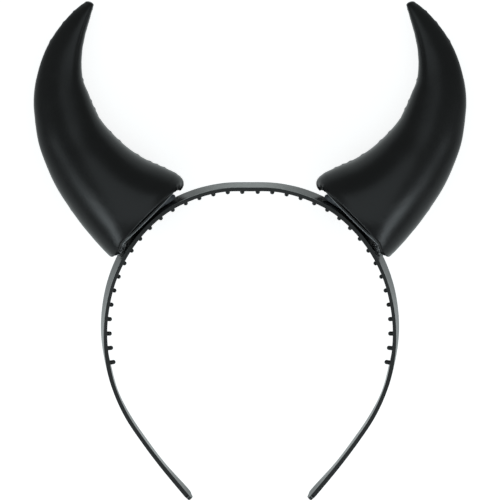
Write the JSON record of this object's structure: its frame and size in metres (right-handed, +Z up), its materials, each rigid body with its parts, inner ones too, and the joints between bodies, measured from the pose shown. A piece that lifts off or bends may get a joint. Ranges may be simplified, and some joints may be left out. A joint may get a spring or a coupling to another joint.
{
  "type": "devil horns headband",
  "caption": "Toothed plastic hair band with two hollow curved devil horns glued to it on flat oval base plates, lying on its back.",
  "frame": {"origin": "on the surface that the headband lies on, under the middle of its box", "axes": "+X to the right as the front is seen, +Y along the surface towards the horns' points, +Z up out of the front"},
  "size_m": [0.1962, 0.2266, 0.0376],
  "materials": {
    "band": "glossy moulded black plastic with fine scuffs",
    "horn": "satin black moulded vinyl with a fine grain",
    "base": "satin black sheet plastic with a cut edge",
    "glue": "set hot glue, glossy and slightly cloudy"
  },
  "bodies": {
    "root": {"headband": "band", "horn_left": "horn", "horn_right": "horn", "horn_base_left": "base", "horn_base_right": "base", "glue_upper_left": "glue", "glue_upper_right": "glue", "glue_lower_left": "glue", "glue_lower_right": "glue"}
  },
  "joints": []
}
